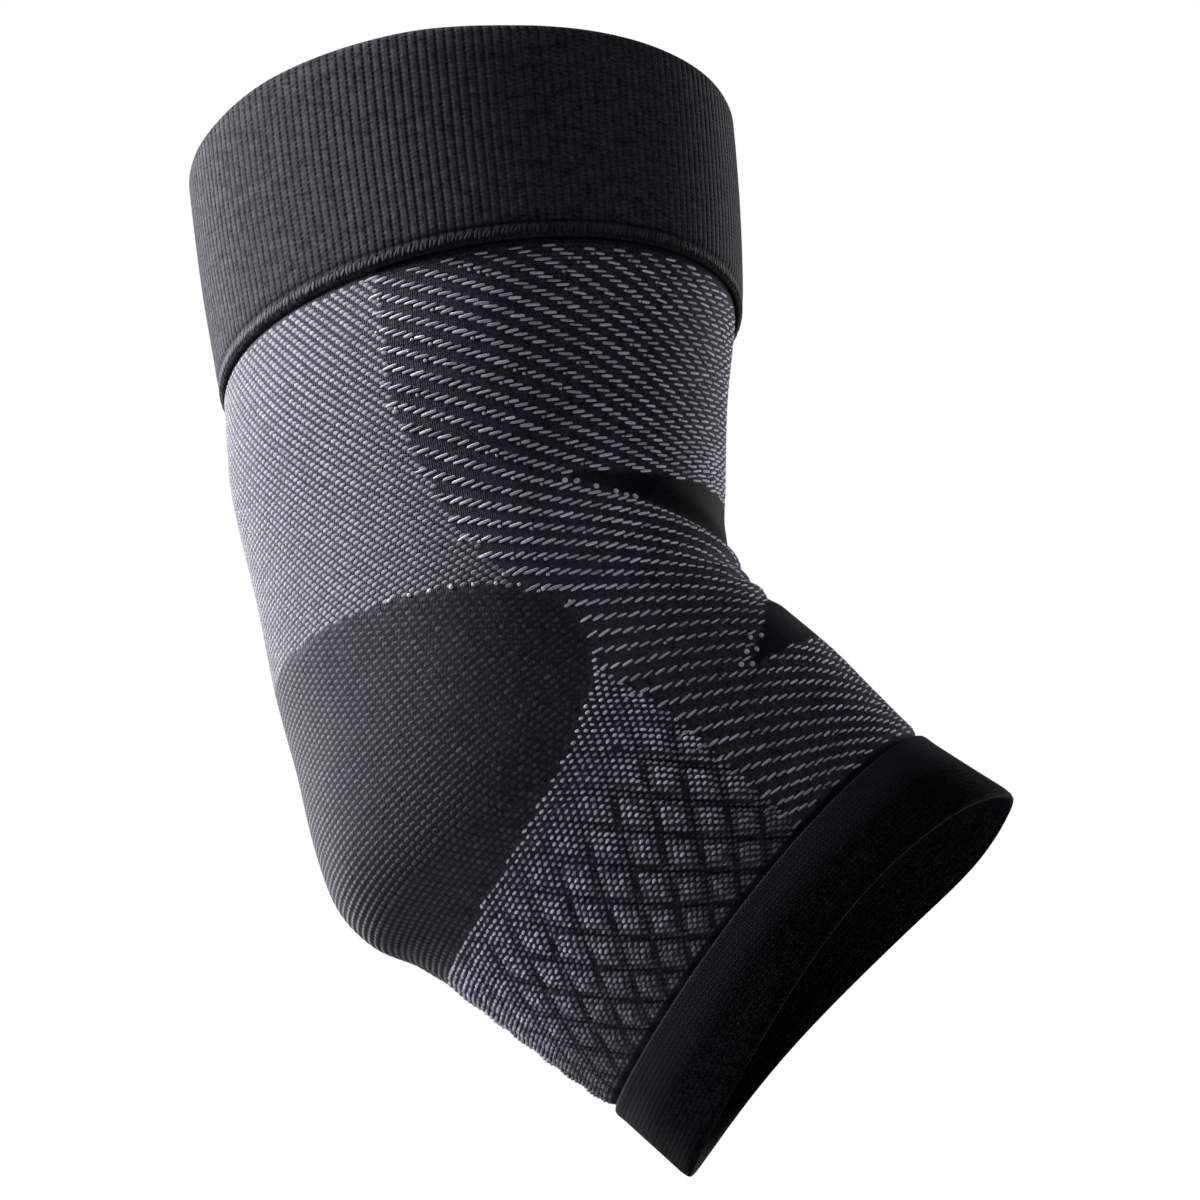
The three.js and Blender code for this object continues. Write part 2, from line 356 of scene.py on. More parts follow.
def knit_material(name, pattern, gap_colour, loop_colour, bump, loop_share=1.0, even=0.0):
    """Matte knit: gap and loop colours on the pattern's stitches, raised by a bump. The more
    even it is, the less the loops stand out in colour from the gaps."""
    made = bpy.data.materials.new(name)
    made.use_nodes = True
    tree = made.node_tree
    shader = tree.nodes["Principled BSDF"]
    shader.inputs["Roughness"].default_value = 0.85
    shader.inputs["Specular IOR Level"].default_value = 0.1
    place = tree.nodes.new("ShaderNodeUVMap")
    place.uv_map = "Knit"
    stitches = tree.nodes.new("ShaderNodeGroup")
    stitches.node_tree = pattern
    tree.links.new(place.outputs[0], stitches.inputs["Stitches"])
    fuzz = calc(tree, "MULTIPLY_ADD", stitches.outputs["Fuzz"], 3.0, -1.0)
    fuzz.node.use_clamp = True
    shown = calc(tree, "MULTIPLY_ADD", stitches.outputs["Loops"], 1 - even, even)
    share = calc(tree, "MULTIPLY", calc(tree, "MULTIPLY", shown, fuzz), loop_share)
    tree.links.new(blend_colours(tree, share, gap_colour, loop_colour), shader.inputs["Base Color"])
    raised = tree.nodes.new("ShaderNodeBump")
    raised.inputs["Strength"].default_value = bump
    raised.inputs["Distance"].default_value = 0.0003
    tree.links.new(stitches.outputs["Loops"], raised.inputs["Height"])
    tree.links.new(raised.outputs[0], shader.inputs["Normal"])
    return made, tree, share, shader


cloth_turn = np.linspace(0, 360, CLOTH_COLUMNS, endpoint=False)
face_at = np.append(np.arange(CLOTH_TOP, CLOTH_END, FACE_STEP), CLOTH_END)
lining_at = np.linspace(CLOTH_END, CLOTH_TOP, LINING_RINGS)
face_rings = cloth_face(face_at[:, None], cloth_turn[None, :])
lining_depth = np.where(lining_at > HEM_SEAM + 1, CLOTH_WALL / 2, CLOTH_WALL)[:, None]
lining_height = cloth_height(lining_at[:, None], cloth_turn[None, :]) - lining_depth
lining_rings = lift(lining_at[:, None], cloth_turn[None, :], lining_height)
cloth_at = np.append(face_at, lining_at)
cloth_rings = np.vstack([face_rings, lining_rings])
sleeve_cloth = knit_tube("sleeve_cloth", cloth_rings, cloth_at, NEEDLES)
outside = np.append(np.ones(len(face_at)), np.zeros(len(lining_at)))[:, None]
# Where each zone of the cloth is: the elbow patch, the pale knit, the bare wedges with the two
# seams, and the grooves of the quilting, which get painted shade.
patch_share = (1 - ease(0.985, 1.015, in_patch(cloth_at[:, None], cloth_turn[None, :]))) * outside
add_value(sleeve_cloth, "patch", patch_share)
pale_share = ease(-1.0, 1.0, in_pale(cloth_at[:, None], cloth_turn[None, :])) * (1 - patch_share) * outside
add_value(sleeve_cloth, "pale", pale_share)
at_seam = (cloth_at < PALE_TOP) | (cloth_at > HEM_SEAM - 1.2)
bare = in_wedge(cloth_at[:, None], cloth_turn[None, :]) | at_seam[:, None] & (pale_share < 0.5)
add_value(sleeve_cloth, "bare", bare * outside)
# Pale yarn shows through the ground beside the patch and among the forearm's dots, and the
# ground is paler over the back of the upper arm.
cloth_away = off_crook(cloth_turn)[None, :]
beside_patch = ease(80, 96, cloth_at) * (1 - ease(116, 132, cloth_at))
mixed = 0.38 * ease(58, 85, cloth_away) * beside_patch[:, None] * (1 - pale_share) * (1 - patch_share)
mixed = mixed + 0.5 * ease(132, 165, cloth_away) * pale_share
mixed = mixed + 0.27 * ease(88, 92, cloth_away) * ease(116, 134, cloth_at)[:, None] * (1 - patch_share)
add_value(sleeve_cloth, "mixed", mixed * outside)
add_value(sleeve_cloth, "groove_shade", quilt_groove(cloth_at[:, None], cloth_turn[None, :]) ** 2)
cloth_mat, cloth_tree, cloth_share, cloth_shader = knit_material(
    "sleeve ground knit", knit, GROUND_COLOUR, GROUND_LOOP_COLOUR, bump=1.0, loop_share=0.9, even=0.4
)
plain_ground = cloth_shader.inputs["Base Color"].links[0].from_socket
bare_ground = blend_colours(cloth_tree, cloth_share, GAP_AND_GROOVE_SHADE_COLOUR, BARE_LOOP_COLOUR)
plain_ground = blend_colours(cloth_tree, read_value(cloth_tree, "bare"), plain_ground, bare_ground)
patch_ground = blend_colours(cloth_tree, cloth_share, PATCH_COLOUR, PATCH_LOOP_COLOUR)
cloth_colour = blend_colours(cloth_tree, read_value(cloth_tree, "patch"), plain_ground, patch_ground)
pale_ground = blend_colours(cloth_tree, cloth_share, PALE_GROUND_COLOUR, PALE_GROUND_LOOP_COLOUR)
cloth_colour = blend_colours(cloth_tree, read_value(cloth_tree, "pale"), cloth_colour, pale_ground)
mixed_ground = blend_colours(cloth_tree, cloth_share, MIXED_GROUND_COLOUR, GROUND_LOOP_COLOUR)
cloth_colour = blend_colours(cloth_tree, read_value(cloth_tree, "mixed"), cloth_colour, mixed_ground)
# Painted shade: the ground is darkened in the grooves of the quilting.
shaded = calc(cloth_tree, "MULTIPLY", read_value(cloth_tree, "groove_shade"), 0.7)
cloth_colour = blend_colours(cloth_tree, shaded, cloth_colour, GAP_AND_GROOVE_SHADE_COLOUR)
cloth_tree.links.new(cloth_colour, cloth_shader.inputs["Base Color"])
cloth_bump = cloth_shader.inputs["Normal"].links[0].from_node
cloth_loops = cloth_bump.inputs["Height"].links[0].from_socket
calm = calc(cloth_tree, "MULTIPLY_ADD", read_value(cloth_tree, "patch"), -0.8, 1.0)
cloth_tree.links.new(calc(cloth_tree, "MULTIPLY", cloth_loops, calm), cloth_bump.inputs["Height"])
sleeve_cloth.data.materials.append(cloth_mat)
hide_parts("sleeve_body")

# Light yarn behind the upper arm: every needle shows a pale stitch on each second course, set
# like bricks, from the upper cuff down to the elbow patch. It is knitted into the sleeve cloth.
PALE_YARN_COLOUR = (0.295, 0.295, 0.35, 1.0)
PALE_COURSE = 1.08
PALE_COUNTED_FROM = 96.0  # the station where all its columns are in step
PALE_FOOT = 112.0
PALE_LENGTH = 1.5
PALE_WIDTH = 0.95
PALE_PROUD = 0.10
PALE_LEAN = -12.0
PATCH_CLEAR = 1.008  # where the other yarns begin round the patch, as a share of its size
chance = np.random.default_rng(41)


def columns_of_stitches(top, foot, start, step, offset, columns):
    """Stitches along lines of constant turn, counted in millimetres of cloth from the start
    station; offset moves every second column. Gives their stations, turns and counts."""
    grid = np.arange(top, foot + 0.5, 0.5)
    turns = np.arange(columns) * 360 / columns - 180
    lines = skin(grid[:, None], turns[None, :])
    run = np.zeros(lines.shape[:2])
    run[1:] = np.cumsum(np.linalg.norm(np.diff(lines, axis=0), axis=-1), axis=0)
    found = []
    for k in range(columns):
        length = run[:, k] - np.interp(start, grid, run[:, k])
        first = math.ceil((length[0] - offset * (k % 2)) / step)
        last = math.floor((length[-1] - offset * (k % 2)) / step)
        count = np.arange(first, last + 1)
        at = np.interp(count * step + offset * (k % 2), length, grid)
        found.append(np.stack([at, np.full_like(at, turns[k]), count], 1))
    return np.concatenate(found).T


def lay_stitches(
    name, at, turn, length, width, proud, tilt, shade, roundness=2.0, over=0.0, part="sleeve_body"
):
    """One mesh of yarn stitches: each is a low rounded dome that lies along its course, with
    its crook end raised by tilt degrees. Sizes are in millimetres. A roundness of 2 makes an
    oval, more makes it a rod. Over is how high above the sleeve's cloth they lie."""
    at, turn, length, width, proud, tilt, shade = np.broadcast_arrays(
        at, turn, length, width, proud, tilt, shade
    )
    middle = cloth_face(at, turn)
    around = unit(cloth_face(at, turn + 0.4) - cloth_face(at, turn - 0.4))
    down = cloth_face(at + 0.4, turn) - cloth_face(at - 0.4, turn)
    out = unit(np.cross(down, around))
    up = np.cross(out, around)
    middle = middle + over * out
    c = np.cos(np.radians(tilt))[:, None]
    s = np.sin(np.radians(tilt))[:, None]
    long_way = around * c + up * s
    short_way = up * c - around * s
    spokes = 8
    corners = 2 * spokes + 1
    angle = np.radians(np.arange(spokes) * 360 / spokes)
    reach = (np.abs(np.cos(angle)) ** roundness + np.abs(np.sin(angle)) ** roundness) ** (-1 / roundness)
    rim = np.stack([reach * np.cos(angle), reach * np.sin(angle), np.full(spokes, -0.4)], 1)
    shoulder = rim * (0.80, 0.80, 0) + (0, 0, 0.80)
    dome = np.vstack([rim, shoulder, [(0, 0, 1.0)]])
    points = middle[:, None] + dome[None, :, :1] * (length / 2)[:, None, None] * long_way[:, None]
    points = points + dome[None, :, 1:2] * (width / 2)[:, None, None] * short_way[:, None]
    points = points + dome[None, :, 2:] * proud[:, None, None] * out[:, None]
    k = np.arange(spokes)
    n = (k + 1) % spokes
    side = np.concatenate([np.stack([k, n, n + spokes], 1), np.stack([k, n + spokes, k + spokes], 1)])
    cap = np.stack([k + spokes, n + spokes, np.full(spokes, corners - 1)], 1)
    one = np.concatenate([side, cap])
    faces = (np.arange(len(at)) * corners)[:, None, None] + one[None]
    faces = faces.reshape(-1, 3)
    piece = new_piece(name, points.reshape(-1, 3), faces)
    cells = math.ceil(math.sqrt(len(at)))
    cell = faces // corners
    spot = dome[faces % corners, :2] * 0.42 + 0.5
    add_map(piece, "OFBake", (np.stack([cell % cells, cell // cells], -1) + spot) / cells)
    add_value(piece, "shade", np.repeat(shade, corners))
    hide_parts(part)
    return piece


# Yarn of one stitch: lighter or darker by its own shade, and streaked by its fibres.
yarn = bpy.data.node_groups.new("Stitch yarn", "ShaderNodeTree")
yarn.interface.new_socket("Shade", in_out="INPUT", socket_type="NodeSocketFloat")
yarn.interface.new_socket("Light", in_out="OUTPUT", socket_type="NodeSocketFloat")
yarn.interface.new_socket("Fibres", in_out="OUTPUT", socket_type="NodeSocketFloat")
yarn_in = yarn.nodes.new("NodeGroupInput")
yarn_out = yarn.nodes.new("NodeGroupOutput")
yarn_place = yarn.nodes.new("ShaderNodeTexCoord")
yarn_fibres = yarn.nodes.new("ShaderNodeTexNoise")
yarn_fibres.inputs["Scale"].default_value = 2600.0
yarn_fibres.inputs["Detail"].default_value = 2.0
yarn.links.new(yarn_place.outputs["Object"], yarn_fibres.inputs["Vector"])
streak = calc(yarn, "MULTIPLY_ADD", yarn_fibres.outputs[0], 0.7, 0.65)
yarn.links.new(calc(yarn, "MULTIPLY", streak, yarn_in.outputs["Shade"]), yarn_out.inputs["Light"])
yarn.links.new(yarn_fibres.outputs[0], yarn_out.inputs["Fibres"])


def yarn_material(name, colour, sheen):
    """Matte yarn whose colour is scaled by each stitch's own shade."""
    made = bpy.data.materials.new(name)
    made.use_nodes = True
    tree = made.node_tree
    shader = tree.nodes["Principled BSDF"]
    shader.inputs["Roughness"].default_value = 0.8
    shader.inputs["Specular IOR Level"].default_value = 0.3
    shader.inputs["Sheen Weight"].default_value = sheen
    shader.inputs["Sheen Roughness"].default_value = 0.5
    stitch = tree.nodes.new("ShaderNodeGroup")
    stitch.node_tree = yarn
    tree.links.new(read_value(tree, "shade"), stitch.inputs["Shade"])
    scaled = tree.nodes.new("ShaderNodeVectorMath")
    scaled.operation = "SCALE"
    scaled.inputs[0].default_value = colour[:3]
    tree.links.new(stitch.outputs["Light"], scaled.inputs["Scale"])
    tree.links.new(scaled.outputs[0], shader.inputs["Base Color"])
    raised = tree.nodes.new("ShaderNodeBump")
    raised.inputs["Strength"].default_value = 0.35
    raised.inputs["Distance"].default_value = 0.0001
    tree.links.new(stitch.outputs["Fibres"], raised.inputs["Height"])
    tree.links.new(raised.outputs[0], shader.inputs["Normal"])
    return made


at, turn = columns_of_stitches(
    PALE_TOP, PALE_FOOT, PALE_COUNTED_FROM, 2 * PALE_COURSE, PALE_COURSE, NEEDLES
)[:2]
keep = (in_pale(at, turn) > 0) & (in_patch(at, turn) > PATCH_CLEAR)
at = at[keep]
turn = turn[keep]
pale_yarn = lay_stitches(
    "pale_yarn",
    at,
    turn,
    PALE_LENGTH * chance.normal(1, 0.05, len(at)),
    PALE_WIDTH * chance.normal(1, 0.05, len(at)),
    PALE_PROUD,
    PALE_LEAN - 12 * (1 - ease(66, 86, at)) + chance.normal(0, 5, len(at)),
    chance.normal(1, 0.12, len(at))
    * (1 - 0.3 * ease(135, 165, off_crook(turn)))
    * (1 - 0.17 * ease(72, 90, at)),
    roundness=2.1,
)
pale_yarn.data.materials.append(yarn_material("pale yarn", PALE_YARN_COLOUR, 0.1))

# Striped yarn over the front and sides: pale dashes of one strand each, every dash two or three
# needles further round than the one above, so that they run in slanted stripes. The two wedges
# in the crook are left bare. Knitted into the sleeve cloth.
STRIPE_YARN_COLOUR = (0.555, 0.56, 0.69, 1.0)
# The rows of dashes by station: their spacing, the degrees that each row shifts, the degrees
# from dash to dash in a row, the row's slope, and a dash's length, width, lean and brightness.
STRIPE_ROWS = np.array(
    [
        # at, spacing, shift, repeat, slope, length, width, lean, shade
        (44, 0.91, 2.06, 7.5, -0.02, 3.0, 0.58, -1.0, 0.95),
        (78, 0.88, 2.06, 7.5, -0.02, 2.85, 0.58, -1.0, 1.0),
        (86, 0.73, 2.16, 7.55, -0.025, 2.85, 0.55, 0.0, 1.15),
        (92.5, 0.70, 2.54, 7.75, -0.014, 3.0, 0.55, -1.0, 1.25),
        (98.5, 0.77, 2.72, 8.0, 0.0, 3.1, 0.56, -1.5, 1.35),
        (104.5, 0.86, 2.92, 8.35, 0.014, 3.1, 0.57, -3.0, 1.4),
        (110, 0.92, 2.90, 8.6, 0.02, 3.05, 0.57, -4.0, 1.4),
        (119.5, 1.0, 2.45, 8.8, 0.03, 2.8, 0.52, -6.0, 1.3),
        (127, 1.08, 2.15, 8.8, 0.05, 2.8, 0.50, -8.0, 0.92),
        (135, 1.08, 2.24, 8.8, 0.07, 2.75, 0.48, -8.0, 0.8),
        (159, 1.06, 2.34, 8.8, 0.072, 2.7, 0.48, -9.0, 0.78),
        (174, 1.06, 2.40, 8.8, 0.072, 2.7, 0.47, -9.0, 0.7),
    ]
)
STRIPE_CURVE = -0.0006  # how the forearm's rows bend up towards the crook line
STRIPE_MIDDLE = -80.0  # the turn where each row crosses its station
STRIPE_FIRST_AT = 30.0
STRIPE_FIRST_TURN = -150.0  # a dash of the first row, off the middle
STRIPE_PROUD = 0.2
STRIPE_PARTED = 0.14  # the share of dashes that a sunken loop parts
STRIPE_OVERLAP = 1.2  # degrees that they run into the knit behind them
FOREARM_EDGE = 88.0  # degrees off the crook line where the forearm's dots begin
YARN_END = HEM_SEAM - 1.4  # the yarns stop short of the lower cuff


def stripe_row(at):
    """The table's columns after the first, at any station."""
    return [np.interp(at, STRIPE_ROWS[:, 0], column) for column in STRIPE_ROWS.T[1:]]


row_at = [STRIPE_FIRST_AT]
row_turn = [0.0]
while row_at[-1] < HEM_SEAM + 20:
    spacing, shift = stripe_row(row_at[-1])[:2]
    row_at.append(row_at[-1] + spacing)
    row_turn.append(row_turn[-1] + shift)
row_at = np.array(row_at)
repeat, slope = stripe_row(row_at)[2:4]
# The rows run on round the arm, and the dashes beyond one turn of it are dropped.
places = np.arange(-400, 400)
from_middle = np.asarray(row_turn)[:, None] + STRIPE_FIRST_TURN + places[None, :] * repeat[:, None]
curve = STRIPE_CURVE * ease(114, 140, row_at)
bent = np.clip(from_middle, 0, 60) ** 2 * (1 - ease(70, 150, from_middle))
at = row_at[:, None] + slope[:, None] * from_middle + curve[:, None] * bent
near = (np.abs(from_middle + STRIPE_MIDDLE) < 180) & (at > PALE_TOP + 0.2) & (at < YARN_END)
at = at[near]
turn = from_middle[near] + STRIPE_MIDDLE
back_edge = np.where(at < PALE_EDGE_AT[-1], -in_pale(at, turn), FOREARM_EDGE - off_crook(turn))
keep = (back_edge > -STRIPE_OVERLAP) & ~in_wedge(at, turn) & (in_patch(at, turn) > PATCH_CLEAR)
at = at[keep]
turn = turn[keep]
length, width, lean, shade = stripe_row(at)[4:]
away = off_crook(turn)
# They lean more towards the pale knit and towards the crook line. In the fold of the crook they
# are small and level.
lean = lean + 0.09 * np.maximum(away - 80, 0) * (1 - ease(104, 124, at))
in_fold = ease(92, 98, at) * (1 - ease(114, 124, at)) * (1 - ease(45, 75, away))
lean = lean + 0.005 * np.maximum(80 - away, 0) ** 2 * (1 - in_fold) - 5 * in_fold
length = length * (1 + 0.3 * (1 - ease(25, 60, away)) * (1 - in_fold)) * (1 - 0.3 * in_fold)
width = width * (1 - 0.16 * (1 - ease(40, 80, away))) * (1 - 0.15 * in_fold)
# Painted light: beside the crook line the dashes are painted brighter, most on the forearm, for the rim
# light that falls there.
crook_rim_light = (1 - ease(45, 75, away)) * (0.3 + 0.7 * ease(25, 45, away)) * ease(126, 140, at)
shade = shade * chance.normal(1, 0.16, len(at)) * (1 + 1.2 * crook_rim_light)
# Painted light: the upper arm's dashes near the crook line are painted a little brighter too.
shade = shade * (1 + 0.2 * (1 - ease(45, 80, away)) * (1 - ease(116, 128, at)))
# Some dashes are parted near their back end by a sunken loop.
parted = chance.random(len(at)) < STRIPE_PARTED
strand_at = np.concatenate([at, at[parted] + 0.05])
strand_turn = np.concatenate([turn + 0.17 * length * parted, (turn - 0.45 * length)[parted]])
strand_length = np.concatenate([length * (1 - 0.27 * parted), 0.26 * length[parted]])
strand_shade = np.concatenate([shade, shade[parted]])
stripe_yarn = lay_stitches(
    "stripe_yarn",
    strand_at,
    strand_turn,
    strand_length * chance.normal(1, 0.07, len(strand_at)),
    np.concatenate([width, width[parted]]) * chance.normal(1, 0.1, len(strand_at)),
    STRIPE_PROUD * (0.4 + 0.6 * ease(25, 60, off_crook(strand_turn))),
    np.concatenate([lean, lean[parted]]) + chance.normal(0, 3, len(strand_at)),
    strand_shade * chance.normal(1, 0.1, len(strand_at)),
    roundness=3.6,
)
stripe_yarn.data.materials.append(yarn_material("striped yarn", STRIPE_YARN_COLOUR, 0.1))

# Dotted yarn over the quilted back of the forearm: small grey stitches set like bricks, with
# painted shade in the grooves, and duller along the elbow line and towards the lower cuff.
# Knitted into the sleeve cloth.
DOT_YARN_COLOUR = (0.53, 0.54, 0.672, 1.0)
DOT_TOP = 104.0
DOT_WALES = 186
DOT_COURSE = 1.02
DOT_LENGTH = 1.16
DOT_WIDTH = 0.58
DOT_PROUD = 0.2
DOT_RIM = 1.07  # within this share of the patch's size the dots are brighter
dot_at = np.arange(DOT_TOP, YARN_END, DOT_COURSE)
row, column = np.meshgrid(np.arange(len(dot_at)), np.arange(DOT_WALES), indexing="ij")
at = dot_at[row].ravel()
turn = ((column + 0.5 * (row % 2)) * 360 / DOT_WALES - 180).ravel()
keep = (off_crook(turn) > FOREARM_EDGE) & (in_patch(at, turn) > PATCH_CLEAR) & (at > PATCH_MIDDLE)
at = at[keep]
turn = turn[keep]
at = at + chance.normal(0, 0.05, len(at))
turn = turn + chance.normal(0, 0.06, len(at))
groove_shade = quilt_groove(at, turn)
beside_rim = in_patch(at, turn) < DOT_RIM
# Painted shade: the dots in the quilting's grooves are darker.
dot_shade = chance.normal(1, 0.28, len(at)) * (1 - 0.85 * groove_shade**1.9) * (1.35 - 1.0 * ease(142, 168, at))
dot_shade *= np.where(beside_rim, 1.2, 1.0) * (1 - 0.22 * ease(148, 172, off_crook(turn)))
dot_yarn = lay_stitches(
    "dot_yarn",
    at,
    turn,
    DOT_LENGTH * chance.normal(1, 0.08, len(at)),
    DOT_WIDTH * chance.normal(1, 0.08, len(at)),
    DOT_PROUD,
    np.clip(-3 + 0.5 * (off_crook(turn) - 115), -19, 6) + chance.normal(0, 9, len(at)),
    np.clip(dot_shade, 0.06, 1.6),
)
dot_yarn.data.materials.append(yarn_material("dotted yarn", DOT_YARN_COLOUR, 0.1))

# Patch yarn: the elbow patch is a closer knit of dark blue-grey yarn, in small stitches of two
# legs each. They stand in columns that lean a little. Knitted into the sleeve cloth.
PATCH_YARN_COLOUR = (0.046, 0.051, 0.066, 1.0)
PATCH_TOP = 86.0
PATCH_FOOT = 138.0
PATCH_WALES = NEEDLES // 2
PATCH_COURSE = 1.28
PATCH_SHIFT = 0.4  # degrees that a column leans at each course
PATCH_REACH = 1.015  # where its stitches end, as a share of its size
LEG_LENGTH = 0.86
LEG_WIDTH = 0.74
LEG_PROUD = 0.014
LEG_RAISED = 0.056  # how much prouder they are over the elbow
LEG_APART = 0.68  # degrees between the two legs of a stitch
LEG_TILTS = (28.0, -42.0)
at, turn, count = columns_of_stitches(PATCH_TOP, PATCH_FOOT, PATCH_MIDDLE, PATCH_COURSE, 0, PATCH_WALES)
turn = turn + PATCH_SHIFT * count
keep = in_patch(at, turn) < PATCH_REACH
at = at[keep]
turn = turn[keep]
over_elbow = ease(105, 145, off_crook(turn))
shade = np.clip(chance.normal(1, 0.16, len(at)), 0.3, 1.8) * (0.74 + 0.26 * over_elbow)
fleck = 0.12 + 0.38 * (1 - over_elbow)  # the stitches at the sides differ most in shade
patch_yarn = lay_stitches(
    "patch_yarn",
    np.concatenate([at, at + 0.06]),
    np.concatenate([turn - LEG_APART / 2, turn + LEG_APART / 2]),
    LEG_LENGTH,
    LEG_WIDTH * chance.normal(1, 0.08, 2 * len(at)),
    LEG_PROUD + LEG_RAISED * ease(108, 150, off_crook(np.tile(turn, 2))),
    np.repeat(LEG_TILTS, len(at)) + chance.normal(0, 8, 2 * len(at)),
    np.clip(np.concatenate([shade * 1.1, shade * 0.9]) * chance.normal(1, np.tile(fleck, 2)), 0.2, 2.4),
    roundness=2.3,
)
patch_yarn.data.materials.append(yarn_material("patch yarn", PATCH_YARN_COLOUR, 0.25))

# Edge stitches: rounder, brighter stitches where a course of pale yarn turns back, in a row
# along the upper rim of the elbow patch and at the tips of the bare wedges. Knitted into the
# sleeve cloth.
EDGE_YARN_COLOUR = (0.92, 0.91, 0.98, 1.0)
EDGE_LENGTH = 1.0
EDGE_WIDTH = 0.84
EDGE_PROUD = 0.3
PATCH_RIM_SIZE = 0.85
WEDGE_SIZE = 1.25
# Those of the rim: degrees off the crook line where they start and end and from one to the next,
# and the oval that they stand on, as shares of the patch's turn and length.
RIM_START = 86.0
RIM_END = 130.0
RIM_STEP = 5.2
RIM_TURN_SHARE = 1.02
RIM_LENGTH_SHARE = 1.01
# Those of the wedges, on one side of the arm.
WEDGE_STITCHES = [
    # away from the crook line, at
    (81.0, 88.5),
    (78.0, 89.0),
    (73.0, 90.5),
    (67.5, 92.0),
    (64.5, 93.0),
    (61.5, 93.5),
    (56.0, 133.0),
    (52.5, 134.0),
    (61.0, 135.0),
    (58.0, 136.0),
    (65.5, 136.5),
    (63.0, 138.0),
]
rim_away = np.arange(RIM_START, RIM_END, RIM_STEP)
rim_share = (180 - rim_away) / (RIM_TURN_SHARE * PATCH_HALF_TURN)
rim_along = (1 - rim_share**PATCH_POWER) ** (1 / PATCH_POWER)
rim_at = PATCH_MIDDLE - RIM_LENGTH_SHARE * PATCH_HALF_LENGTH * rim_along
wedge_away, wedge_at = np.array(WEDGE_STITCHES).T
at = np.tile(np.concatenate([rim_at, wedge_at]), 2)
turn = np.concatenate([rim_away, wedge_away, -rim_away, -wedge_away])
size = np.tile(np.repeat([PATCH_RIM_SIZE, WEDGE_SIZE], [len(rim_at), len(wedge_at)]), 2)
edge_yarn = lay_stitches(
    "edge_yarn",
    at,
    turn,
    EDGE_LENGTH * size * chance.normal(1, 0.12, len(at)),
    EDGE_WIDTH * size * chance.normal(1, 0.12, len(at)),
    EDGE_PROUD,
    chance.normal(5, 5, len(at)),
    np.clip(chance.normal(0.9, 0.1, len(at)), 0.6, 1.0),
    roundness=2.3,
)
edge_yarn.data.materials.append(yarn_material("edge yarn", EDGE_YARN_COLOUR, 0.1))

# Upper cuff: a wide band of charcoal knit turned double, ribbed all round, its lower edge
# hemmed by a stitched line and lapped over the top of the sleeve cloth.
RIBS = 188
RIB_POINTS = 6
RIB_DEPTH = 0.05
CUFF_RIM_RISE = 0.8
CUFF_SEAM = 41.05  # station of the stitched line
CUFF_SEAM_WIDTH = 0.35
CUFF_GAP_AND_EDGE_SHADE_COLOUR = (0.007, 0.006, 0.008, 1.0)
CUFF_LOOP_COLOUR = (0.076, 0.070, 0.088, 1.0)
# The band's profile: station, height over the sleeve's face, and the share of the ribs' depth.
CUFF_PROFILE = [
    # at, off, rib
    (0.0, -0.1, 0.2),
    (0.2, 0.6, 0.5),
    (0.6, 1.1, 0.8),
    (1.4, 1.4, 1.0),
    (6.0, 1.45, 1.0),
    (12.0, 1.45, 1.0),
    (18.0, 1.45, 1.0),
    (24.0, 1.45, 1.0),
    (30.0, 1.45, 1.0),
    (36.0, 1.45, 1.0),
    (39.4, 1.45, 1.0),
    (40.4, 1.4, 0.8),
    (40.8, 1.26, 0.6),
    (41.1, 1.2, 0.4),
    (41.4, 1.24, 0.4),
    (41.8, 1.34, 0.4),
    (42.4, 1.4, 0.4),
    (43.1, 1.28, 0.5),
    (43.7, 0.95, 0.8),
    (44.0, 0.55, 0.5),
    (43.8, 0.3, 0.0),
    (40.0, 0.3, 0.0),
    (40.0, -1.6, 0.0),
    (30.0, -1.6, 0.6),
    (15.0, -1.6, 0.6),
    (1.4, -1.6, 0.6),
    (0.4, -1.3, 0.4),
]
cuff_turn = np.linspace(0, 360, RIBS * RIB_POINTS, endpoint=False)
rib_wave = np.abs(np.cos(np.radians(cuff_turn * RIBS / 2))) ** 0.7 - 1
# The rim stands a little higher over the elbow's side.
cuff_away = off_crook(cuff_turn)
rim_rise = CUFF_RIM_RISE * ease(85, 110, cuff_away) * (1 - ease(140, 165, cuff_away))


def cuff_ring(at, off, rib):
    """One ring of the cuff; the furrows between its ribs sink into both of its faces."""
    face = 1 if off > 0 else -1
    height = off + RIB_DEPTH * rib * rib_wave * face
    return lift(at - rim_rise * (1 - ease(0, 14, at)), cuff_turn, height)


cuff_rings = [cuff_ring(at, off, rib) for at, off, rib in CUFF_PROFILE]
cuff_at = np.array([row[0] for row in CUFF_PROFILE])
upper_cuff = knit_tube("upper_cuff_band", cuff_rings, cuff_at, RIBS)
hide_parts("upper_cuff")
# Ribbed knit: soft low ribs of one bead to a course, with a small dark pit between the beads.
ribbed = bpy.data.node_groups.new("Ribbed knit", "ShaderNodeTree")
ribbed.interface.new_socket("Stitches", in_out="INPUT", socket_type="NodeSocketVector")
ribbed.interface.new_socket("Loops", in_out="OUTPUT", socket_type="NodeSocketFloat")
ribbed.interface.new_socket("Fuzz", in_out="OUTPUT", socket_type="NodeSocketFloat")
ribbed_in = ribbed.nodes.new("NodeGroupInput")
ribbed_out = ribbed.nodes.new("NodeGroupOutput")
ribbed_split = ribbed.nodes.new("ShaderNodeSeparateXYZ")
ribbed.links.new(ribbed_in.outputs["Stitches"], ribbed_split.inputs[0])
rib_place = calc(ribbed, "ADD", ribbed_split.outputs["X"], 0.5)
beside = calc(ribbed, "SUBTRACT", calc(ribbed, "FRACT", rib_place), 0.5)
between = calc(ribbed, "MULTIPLY_ADD", calc(ribbed, "ABSOLUTE", beside), 3.6, -0.8)
between.node.use_clamp = True
